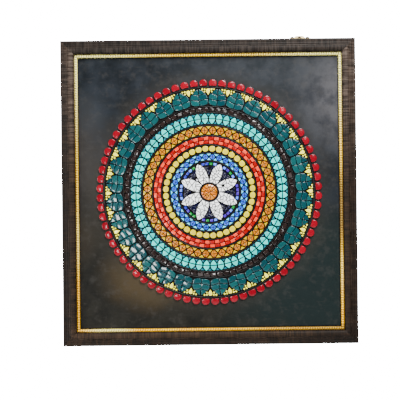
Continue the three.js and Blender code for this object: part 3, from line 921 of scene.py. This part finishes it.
# Dark squares
# A quiet row of brown-black glazed squares, cut from strips with nippers and left rough. Their
# gloss is all that parts them from the black paint and adhesive round them.
DARK_COUNT = 80
dark_square = [(0.05, 0.03), (0.95, 0.03), (0.93, 0.97), (0.07, 0.97)]
lay_tiles(
    "dark_square_tiles", ring_of(band_between(7), DARK_COUNT, dark_square),
    glaze("dark_glaze", paint(42, 32, 30), paint(24, 18, 17), paint(40, 32, 29)),
    height=0.0034, seed=5, joint=0.0009, edge=0.0006, lean=0.07, turn=0.04, replaced=["dark_squares"])


# Aqua leaves
# Slim leaves of pale aqua glaze, touching at their waists and each cut in two across the
# middle. Small triangles of sea green fill the corners between their points.
AQUA_COUNT = 64


def half_leaf(end):
    """Half of a slim leaf: from its waist to its blunt point."""
    right = []
    for away in (0.02, 0.2, 0.4, 0.6, 0.78, 0.91):
        width = 0.47 * (1 - away ** 1.9) ** 0.8
        right.append((width, 0.5 + end * 0.5 * away))
    left = [(-width, depth) for width, depth in reversed(right)]
    return [(0.5 + width, depth) for width, depth in right + [(0.0, 0.5 + end * 0.49)] + left]


aqua_band = band_between(6)
lay_tiles(
    "aqua_leaf_tiles",
    ring_of(aqua_band, AQUA_COUNT, half_leaf(-1), half_leaf(1)),
    glaze("aqua_glaze", paint(24, 216, 204), paint(8, 168, 162), paint(4, 40, 46)),
    height=0.0044, seed=6, joint=0.0012, edge=0.0006, shoulder=0.8, lean=0.04, replaced=["aqua_leaves"])


def fillers(band, count, half, ends):
    """Triangles between the tiles of a band, each from its tip to a base of twice the half."""
    shapes = [[(0.0, tip), (half, base), (-half, base)] for tip, base in ends]
    return ring_of(band, count, *shapes)


lay_tiles(
    "aqua_filler_tiles",
    fillers(aqua_band, AQUA_COUNT, 0.29, ((0.28, 0.03), (0.72, 0.97))),
    glaze("sea_glaze", paint(30, 110, 120), paint(14, 80, 96), paint(8, 36, 44)),
    height=0.0036, seed=18, joint=0.0007, edge=0.0004, shoulder=0.6)


# Orange lozenges
# Lozenges of orange glaze, each cut in four across its middle, with small yellow triangles
# filling the band's edges between them.
ORANGE_COUNT = 48
orange_band = band_between(5)


def quartered_lozenges(band, count):
    corners = ((1.0, 0.5), (0.5, 1.0), (0.0, 0.5), (0.5, 0.0))
    quarters = [[(0.5, 0.5), start, end] for start, end in zip(corners, corners[1:] + corners[:1])]
    return ring_of(band, count, *quarters)


lay_tiles(
    "orange_lozenge_tiles", quartered_lozenges(orange_band, ORANGE_COUNT),
    glaze("orange_glaze", paint(184, 116, 0), paint(172, 94, 0), paint(80, 34, 3)),
    height=0.004, seed=7, joint=0.0009, edge=0.0007, replaced=["orange_lozenges"])

lay_tiles(
    "yellow_filler_tiles",
    fillers(orange_band, ORANGE_COUNT, 0.37, ((0.6, 0.985), (0.4, 0.015))),
    glaze("yellow_glaze", paint(182, 156, 0), paint(174, 138, 0), paint(70, 48, 3)),
    height=0.0036, seed=8, joint=0.0009, edge=0.0006)


# Red and salmon chequer
# Two rows of near-square tiles, scarlet and salmon by turns. They are nipped from strips and
# set tight in the adhesive, with a thin dark joint.
CHEQUER_COUNT = 64
CHEQUER_ROWS = ((0.02, 0.495), (0.505, 0.98))


def chequer(first):
    """Every second tile of both rows, from tile 0 or 1 of the inner row."""
    outlines = []
    for row, (low, high) in enumerate(CHEQUER_ROWS):
        corners = [(0.0, low), (1.0, low), (1.0, high), (0.0, high)]
        start = (row + first) % 2
        outlines += ring_of(band_between(4), CHEQUER_COUNT, corners, first=start, skip=2)
    return outlines


lay_tiles(
    "scarlet_tiles", chequer(0),
    glaze("scarlet_glaze", paint(150, 4, 2), paint(132, 2, 1), paint(60, 3, 2), gloss=0.5),
    height=0.0038, seed=9, joint=0.0012, edge=0.0006, replaced=["red_salmon_chequer"])
lay_tiles(
    "salmon_tiles", chequer(1),
    glaze("salmon_glaze", paint(226, 66, 34), paint(216, 54, 26), paint(120, 24, 12), gloss=0.5),
    height=0.0036, seed=10, joint=0.0012, edge=0.0006)


# Yellow pods
# Forty rounded tiles of bright yellow glaze, nipped to near-round from squares and set in a row
# like peas in a pod.
YELLOW_COUNT = 40
pod = oval(0.015, 0.985, 0.015, 0.985, steps=16, power=0.84)
lay_tiles(
    "yellow_pod_tiles", ring_of(band_between(3), YELLOW_COUNT, pod),
    glaze("bright_yellow_glaze", paint(204, 188, 0), paint(194, 172, 0), paint(90, 72, 0)),
    height=0.005, seed=11, joint=0.0006, edge=0.0012, crown=0.0003, replaced=["yellow_pods"])


# Blue lozenges
# Lozenges of cornflower blue cut in four, with triangles of pale blue between them that leave
# only thin dark joints.
BLUE_COUNT = 32
blue_band = band_between(2)
lay_tiles(
    "blue_lozenge_tiles", quartered_lozenges(blue_band, BLUE_COUNT),
    glaze("blue_glaze", paint(58, 108, 232), paint(40, 88, 216), paint(16, 34, 100)),
    height=0.0039, seed=12, joint=0.001, edge=0.0006, replaced=["blue_lozenges"])
lay_tiles(
    "pale_blue_tiles",
    fillers(blue_band, BLUE_COUNT, 0.37, ((0.62, 0.985), (0.38, 0.015))),
    glaze("pale_blue_glaze", paint(96, 214, 244), paint(80, 190, 236), paint(20, 44, 66)),
    height=0.0036, seed=13, joint=0.0006, edge=0.0005)


# White lotus
# Eight broad petals of crushed white glaze, broken small with a hammer and laid like paving
# over a dark ground.
PETAL_COUNT = 8
PETAL_SHARD = 7.5e-5
lotus_band = band_between(1)
petal_side = ((0.985, 0.0), (0.985, 0.12), (0.93, 0.3), (0.845, 0.52), (0.74, 0.73), (0.62, 0.89))
petal = [(0.25, 0.0), (0.5, 0.0), (0.75, 0.0), *petal_side, (0.5, 0.995)]
petal += [(1 - share, depth) for share, depth in reversed(petal_side)]
lay_tiles(
    "white_petal_shards", ring_of(lotus_band, PETAL_COUNT, petal),
    glaze("white_glaze", paint(252, 252, 252), paint(244, 245, 247), paint(30, 31, 32)),
    height=0.0046, seed=14, joint=0.0019, edge=0.0004, shoulder=0.8, lean=0.05, largest=PETAL_SHARD,
    replaced=["white_lotus"])


# Navy wedges
# Crushed navy glaze between the petals, and along the foot of each wedge a row of small
# squares in violet, pale blue and green.
NAVY_SHARD = 5.0e-5
SQUARE_HALF = 0.075
wedge = [(0.0, 0.235), (0.115, 0.52), (0.295, 0.79), (-0.295, 0.79), (-0.115, 0.52)]
lay_tiles(
    "navy_wedge_shards", ring_of(lotus_band, PETAL_COUNT, wedge),
    glaze("navy_glaze", paint(10, 12, 48), paint(5, 6, 28), paint(6, 8, 18)),
    height=0.0036, seed=15, joint=0.0009, edge=0.0004, shoulder=0.8, lean=0.05, largest=NAVY_SHARD,
    replaced=["navy_wedge_" + str(number) for number in range(1, PETAL_COUNT + 1)])


def many_glazes(name, colours, rim):
    """Gloss glaze in several colours, one for each tile by its tone."""
    surface = Surface(name, Coat_Weight=0.9, Coat_Roughness=0.04, Specular_IOR_Level=0.2)
    where = surface.place()
    mottle = surface.cloud(where, 240.0, 3.0, 0.6)
    tone = surface.drawn("tone")
    fired = surface.mix(mottle * 0.3, colours[0], rim)
    for number, colour in enumerate(colours[1:], 1):
        edge = number / len(colours)
        fired = surface.mix(tone.between(edge - 0.001, edge + 0.001), fired, colour)
    colour = surface.mix(surface.drawn("rise").between(0.1, 0.8), rim, fired)
    return surface.finish(
        colour, GLAZE_ROUGHNESS + mottle * 0.14,
        (surface.cloud(where, 150.0), 0.06, 0.0006))


squares = []
for middle in (-0.27, -0.09, 0.09, 0.27):
    left, right = middle - SQUARE_HALF, middle + SQUARE_HALF
    squares.append([(left, 0.83), (right, 0.83), (right, 0.97), (left, 0.97)])
lay_tiles(
    "small_bright_squares", ring_of(lotus_band, PETAL_COUNT, *squares),
    many_glazes(
        "small_square_glaze",
        (paint(41, 50, 170), paint(84, 120, 240), paint(8, 120, 48), paint(66, 34, 160)),
        paint(8, 10, 28)),
    height=0.0036, seed=16, joint=0.0009, edge=0.0005)


# Centre boss
# A low dome in the middle of the lotus, of orange and yellow glaze crushed as small as that of
# the petals and bedded high on adhesive.
BOSS_SHARD = 6.5e-5
boss_radius = radius_of("centre_boss")
disc = [
    Vector((boss_radius * across, 0, boss_radius * along))
    for across, along in oval(-1, 1, -1, 1, steps=30)]
lay_tiles(
    "centre_boss_shards", [disc],
    glaze("amber_glaze", paint(196, 124, 2), paint(186, 88, 0), paint(30, 14, 3)),
    height=0.0044, seed=17, joint=0.0016, edge=0.0005, shoulder=0.8, largest=BOSS_SHARD, dome=0.0034,
    replaced=["centre_boss"])


# Hanger
# A stamped and bent plate of pale brass. Its foot is screwed down on the top rail's edge with
# two dark round-head screws, and a dark eyelet lines the eye of the ear that stands up from it.
SCREW_HEAD_HEIGHT = 0.004
SCREW_SHANK = 0.0015
SCREW_SLOT = 0.0012


def brass_finish():
    surface = Surface("hanger_brass_finish", Metallic=0.55, Specular_IOR_Level=0.4)
    where = surface.place()
    drawn_lines = surface.cloud(surface.place((900, 60, 60)), 1.0, 2.0, 0.5)
    # The darkening here is tarnish, in patches.
    darkening = surface.cloud(where, 180.0, 4.0, 0.6)
    bright = surface.mix(drawn_lines, paint(236, 214, 158), paint(216, 188, 122))
    colour = surface.mix(darkening.between(0.55, 0.72) * 0.6, bright, paint(120, 92, 50))
    return surface.finish(colour, 0.3 + darkening * 0.25, (drawn_lines, 0.25, 0.0002))


def dark_metal_finish():
    surface = Surface("dark_screw_finish", Metallic=0.8, Specular_IOR_Level=0.4)
    where = surface.place()
    wear = surface.cloud(where, 700.0, 3.0, 0.6)
    colour = surface.mix(wear.between(0.55, 0.7), paint(30, 26, 24), paint(92, 84, 76))
    return surface.finish(colour, 0.4 + wear * 0.2, (wear, 0.3, 0.0002))


def turned_screw(profile, slot_width, slot_floor):
    """A screw standing on its point, from its profile, with a slot sawn across the head."""
    bm = bmesh.new()
    points = [bm.verts.new((across, 0, height)) for across, height in profile]
    rims = [bm.edges.new(pair) for pair in zip(points, points[1:])]
    bmesh.ops.spin(
        bm, geom=points + rims, cent=(0, 0, 0), axis=(0, 0, 1), angle=2 * math.pi, steps=24,
        use_merge=True)
    bmesh.ops.remove_doubles(bm, verts=bm.verts, dist=1e-6)
    half = slot_width / 2
    cuts = (((half, 0, 0), (1, 0, 0)), ((-half, 0, 0), (1, 0, 0)), ((0, 0, slot_floor), (0, 0, 1)))
    for place, normal in cuts:
        bmesh.ops.bisect_plane(bm, geom=whole(bm), dist=1e-7, plane_co=place, plane_no=normal)
    middles = [(face, face.calc_center_median()) for face in bm.faces]
    sawn = [face for face, middle in middles if abs(middle.x) < half and middle.z > slot_floor]
    sunk = bmesh.ops.extrude_face_region(bm, geom=sawn)
    for item in sunk["geom"]:
        if isinstance(item, bmesh.types.BMVert):
            item.co.z = slot_floor
    bmesh.ops.remove_doubles(bm, verts=bm.verts, dist=1e-6)
    return bm


def round_head(radius, low, high):
    """The profile of a round screw head, from its rim to its top."""
    points = []
    for step in range(7):
        angle = math.pi / 2 * step / 6
        points.append((radius * math.cos(angle), low + (high - low) * math.sin(angle)))
    points[-1] = (0.0, high)
    return points


dark_metal = dark_metal_finish()
for node, material in (("hanger_plate", brass_finish()), ("hanger_eyelet", dark_metal)):
    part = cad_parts[node]
    part.data.materials.clear()
    part.data.materials.append(material)

for number, slot_turn in ((1, 0.5), (2, -0.9)):
    node = "hanger_screw_" + str(number)
    low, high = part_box(node)
    length = high.z - low.z
    head_start = length - SCREW_HEAD_HEIGHT
    profile = [(0.0, 0.0), (SCREW_SHANK, 2 * SCREW_SHANK), (SCREW_SHANK, head_start)]
    profile += round_head((high.x - low.x) / 2, head_start, length)
    screw = turned_screw(profile, SCREW_SLOT, length - SCREW_SLOT)
    settle = Matrix.Translation(((low.x + high.x) / 2, (low.y + high.y) / 2, low.z))
    bmesh.ops.transform(screw, matrix=settle @ Matrix.Rotation(slot_turn, 4, "Z"), verts=screw.verts)
    piece = show("round_head_screw_" + str(number), screw, dark_metal)
    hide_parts(node)


# Wall screw
# The screw in the wall that the eye hangs on, with a low round head. It belongs to the wall and
# not to the plaque, so it is only staged.
WALL_SCREW_HEAD = 0.0021
WALL_SCREW_SHANK = 0.0006
WALL_SCREW_REACH = 0.0034
WALL_SCREW_SLOT = 0.0006
WALL_SLOT_FLOOR = WALL_SCREW_REACH + 0.0007
eyelet_low, eyelet_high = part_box("hanger_eyelet")
eyelet_middle = (eyelet_low + eyelet_high) / 2
profile = [(0.0, 0.0), (WALL_SCREW_SHANK, 0.0), (WALL_SCREW_SHANK, WALL_SCREW_REACH)]
profile += round_head(WALL_SCREW_HEAD, WALL_SCREW_REACH, WALL_SCREW_REACH + WALL_SCREW_HEAD * 0.6)
wall_screw = turned_screw(profile, WALL_SCREW_SLOT, WALL_SLOT_FLOOR)
settle = Matrix.Translation((eyelet_middle.x, eyelet_high.y, eyelet_middle.z))
settle @= Matrix.Rotation(math.pi / 2, 4, "X") @ Matrix.Rotation(0.4, 4, "Z")
bmesh.ops.transform(wall_screw, matrix=settle, verts=wall_screw.verts)
bmesh.ops.recalc_face_normals(wall_screw, faces=wall_screw.faces[:])
wall_screw_mesh = as_mesh(wall_screw, "wall_screw")
wall_screw_mesh.materials.append(dark_metal)
put("wall_screw", wall_screw_mesh)
